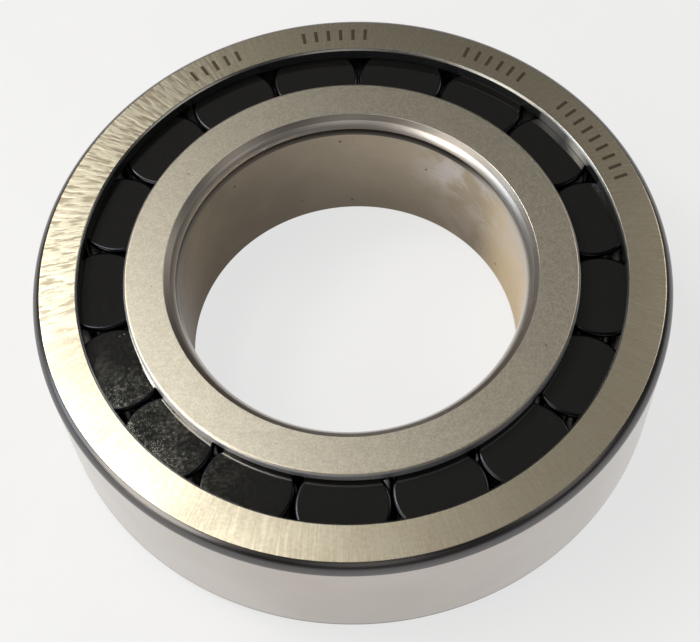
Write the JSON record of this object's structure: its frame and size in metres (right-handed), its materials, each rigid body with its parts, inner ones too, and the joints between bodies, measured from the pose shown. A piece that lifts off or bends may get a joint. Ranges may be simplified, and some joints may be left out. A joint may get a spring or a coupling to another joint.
{
  "type": "cylindrical roller bearing",
  "caption": "Single-row full-complement cylindrical roller bearing with ribbed rings and a snap ring on the open side.",
  "frame": {"origin": "centre of the bearing, on its axis at mid-width", "axes": "+Z along the bearing's axis, out of the face with both ribs; +X is an arbitrary radius"},
  "size_m": [0.11, 0.11, 0.028],
  "materials": {
    "outer_ring_steel": "ground",
    "inner_ring_steel": "tumbled face, fine-ground bore",
    "spring_steel": "oiled, dark",
    "roller_steel": "polished ends"
  },
  "bodies": {
    "outer_ring": {"outer_ring": "outer_ring_steel", "retaining_ring": "spring_steel"},
    "inner_ring": {"inner_ring": "inner_ring_steel"},
    "roller_01": {"roller_01": "roller_steel"},
    "roller_02": {"roller_02": "roller_steel"},
    "roller_03": {"roller_03": "roller_steel"},
    "roller_04": {"roller_04": "roller_steel"},
    "roller_05": {"roller_05": "roller_steel"},
    "roller_06": {"roller_06": "roller_steel"},
    "roller_07": {"roller_07": "roller_steel"},
    "roller_08": {"roller_08": "roller_steel"},
    "roller_09": {"roller_09": "roller_steel"},
    "roller_10": {"roller_10": "roller_steel"},
    "roller_11": {"roller_11": "roller_steel"},
    "roller_12": {"roller_12": "roller_steel"},
    "roller_13": {"roller_13": "roller_steel"},
    "roller_14": {"roller_14": "roller_steel"},
    "roller_15": {"roller_15": "roller_steel"},
    "roller_16": {"roller_16": "roller_steel"},
    "roller_17": {"roller_17": "roller_steel"}
  },
  "joints": [
    {"name": "inner_ring_spin", "type": "hinge", "parent": "outer_ring", "child": "inner_ring", "pos_m": [0, 0, 0], "axis": [0, 0, 1], "continuous": true},
    {"name": "roller_orbit", "type": "hinge", "parent": "outer_ring", "child": "roller_01", "pos_m": [0, 0, 0], "axis": [0, 0, 1], "continuous": true},
    {"name": "roller_02_spin", "type": "hinge", "parent": "roller_01", "child": "roller_02", "pos_m": [0.03656, 0.02282, 0], "axis": [0, 0, 1], "continuous": true},
    {"name": "roller_03_spin", "type": "hinge", "parent": "roller_01", "child": "roller_03", "pos_m": [0.02585, 0.03449, 0], "axis": [0, 0, 1], "continuous": true},
    {"name": "roller_04_spin", "type": "hinge", "parent": "roller_01", "child": "roller_04", "pos_m": [0.01164, 0.0415, 0], "axis": [0, 0, 1], "continuous": true},
    {"name": "roller_05_spin", "type": "hinge", "parent": "roller_01", "child": "roller_05", "pos_m": [-0.00414, 0.0429, 0], "axis": [0, 0, 1], "continuous": true},
    {"name": "roller_06_spin", "type": "hinge", "parent": "roller_01", "child": "roller_06", "pos_m": [-0.01935, 0.03851, 0], "axis": [0, 0, 1], "continuous": true},
    {"name": "roller_07_spin", "type": "hinge", "parent": "roller_01", "child": "roller_07", "pos_m": [-0.03196, 0.02892, 0], "axis": [0, 0, 1], "continuous": true},
    {"name": "roller_08_spin", "type": "hinge", "parent": "roller_01", "child": "roller_08", "pos_m": [-0.04025, 0.01542, 0], "axis": [0, 0, 1], "continuous": true},
    {"name": "roller_09_spin", "type": "hinge", "parent": "roller_01", "child": "roller_09", "pos_m": [-0.0431, -0.00016, 0], "axis": [0, 0, 1], "continuous": true},
    {"name": "roller_10_spin", "type": "hinge", "parent": "roller_01", "child": "roller_10", "pos_m": [-0.04013, -0.01572, 0], "axis": [0, 0, 1], "continuous": true},
    {"name": "roller_11_spin", "type": "hinge", "parent": "roller_01", "child": "roller_11", "pos_m": [-0.03174, -0.02915, 0], "axis": [0, 0, 1], "continuous": true},
    {"name": "roller_12_spin", "type": "hinge", "parent": "roller_01", "child": "roller_12", "pos_m": [-0.01907, -0.03865, 0], "axis": [0, 0, 1], "continuous": true},
    {"name": "roller_13_spin", "type": "hinge", "parent": "roller_01", "child": "roller_13", "pos_m": [-0.00382, -0.04293, 0], "axis": [0, 0, 1], "continuous": true},
    {"name": "roller_14_spin", "type": "hinge", "parent": "roller_01", "child": "roller_14", "pos_m": [0.01195, -0.04141, 0], "axis": [0, 0, 1], "continuous": true},
    {"name": "roller_15_spin", "type": "hinge", "parent": "roller_01", "child": "roller_15", "pos_m": [0.0261, -0.0343, 0], "axis": [0, 0, 1], "continuous": true},
    {"name": "roller_16_spin", "type": "hinge", "parent": "roller_01", "child": "roller_16", "pos_m": [0.03673, -0.02255, 0], "axis": [0, 0, 1], "continuous": true},
    {"name": "roller_17_spin", "type": "hinge", "parent": "roller_01", "child": "roller_17", "pos_m": [0.0424, -0.00776, 0], "axis": [0, 0, 1], "continuous": true}
  ],
  "couplings": [
    {"joint": "roller_orbit", "follows": "inner_ring_spin", "ratio": 0.40893},
    {"joint": "roller_02_spin", "follows": "inner_ring_spin", "ratio": -2.6542},
    {"joint": "roller_03_spin", "follows": "inner_ring_spin", "ratio": -2.6542},
    {"joint": "roller_04_spin", "follows": "inner_ring_spin", "ratio": -2.6542},
    {"joint": "roller_05_spin", "follows": "inner_ring_spin", "ratio": -2.6542},
    {"joint": "roller_06_spin", "follows": "inner_ring_spin", "ratio": -2.6542},
    {"joint": "roller_07_spin", "follows": "inner_ring_spin", "ratio": -2.6542},
    {"joint": "roller_08_spin", "follows": "inner_ring_spin", "ratio": -2.6542},
    {"joint": "roller_09_spin", "follows": "inner_ring_spin", "ratio": -2.6542},
    {"joint": "roller_10_spin", "follows": "inner_ring_spin", "ratio": -2.6542},
    {"joint": "roller_11_spin", "follows": "inner_ring_spin", "ratio": -2.6542},
    {"joint": "roller_12_spin", "follows": "inner_ring_spin", "ratio": -2.6542},
    {"joint": "roller_13_spin", "follows": "inner_ring_spin", "ratio": -2.6542},
    {"joint": "roller_14_spin", "follows": "inner_ring_spin", "ratio": -2.6542},
    {"joint": "roller_15_spin", "follows": "inner_ring_spin", "ratio": -2.6542},
    {"joint": "roller_16_spin", "follows": "inner_ring_spin", "ratio": -2.6542},
    {"joint": "roller_17_spin", "follows": "inner_ring_spin", "ratio": -2.6542}
  ]
}
